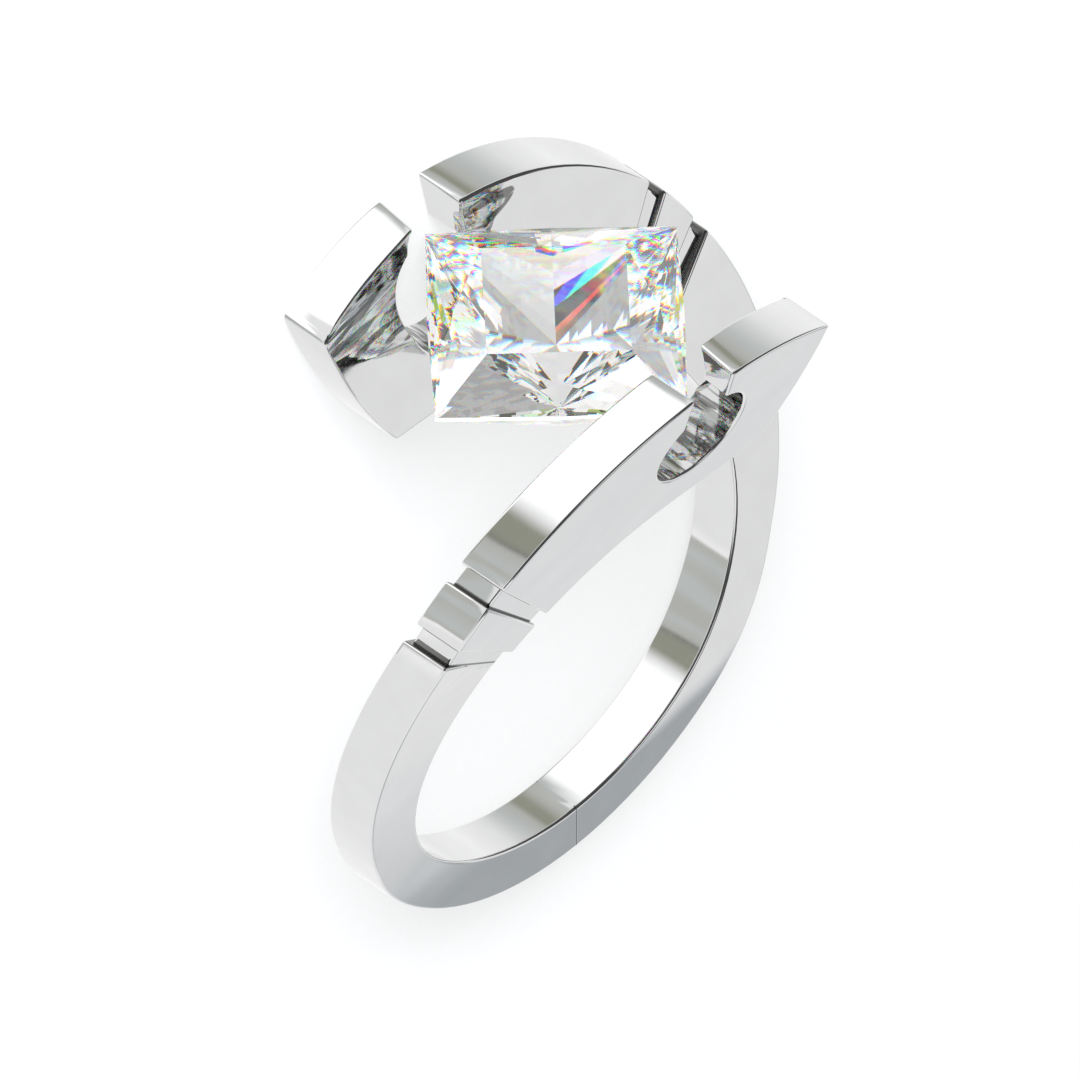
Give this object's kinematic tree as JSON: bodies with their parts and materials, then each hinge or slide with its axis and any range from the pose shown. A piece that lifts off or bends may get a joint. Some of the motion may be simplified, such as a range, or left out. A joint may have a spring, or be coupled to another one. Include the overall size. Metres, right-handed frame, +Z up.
{
  "type": "adjustable open ring",
  "caption": "Open finger ring: a squared band whose two leaning arms pass each other and hold a square princess-cut clear stone between them; ring frame at the finger-hole centre.",
  "frame": {"origin": "centre of the finger hole", "axes": "the ring lies on its side: +Z up, +Y towards the head and its stone, +X across the ring; the finger hole's axis leans about 13 degrees from +Z, as the ring settles by itself"},
  "size_m": [0.0222, 0.0267, 0.0129],
  "materials": {
    "band": "mirror-polished white metal, such as rhodium-plated silver",
    "stone": "clear colourless cut stone, such as cubic zirconia"
  },
  "bodies": {
    "root": {"band": "band", "stone": "stone"}
  },
  "joints": []
}
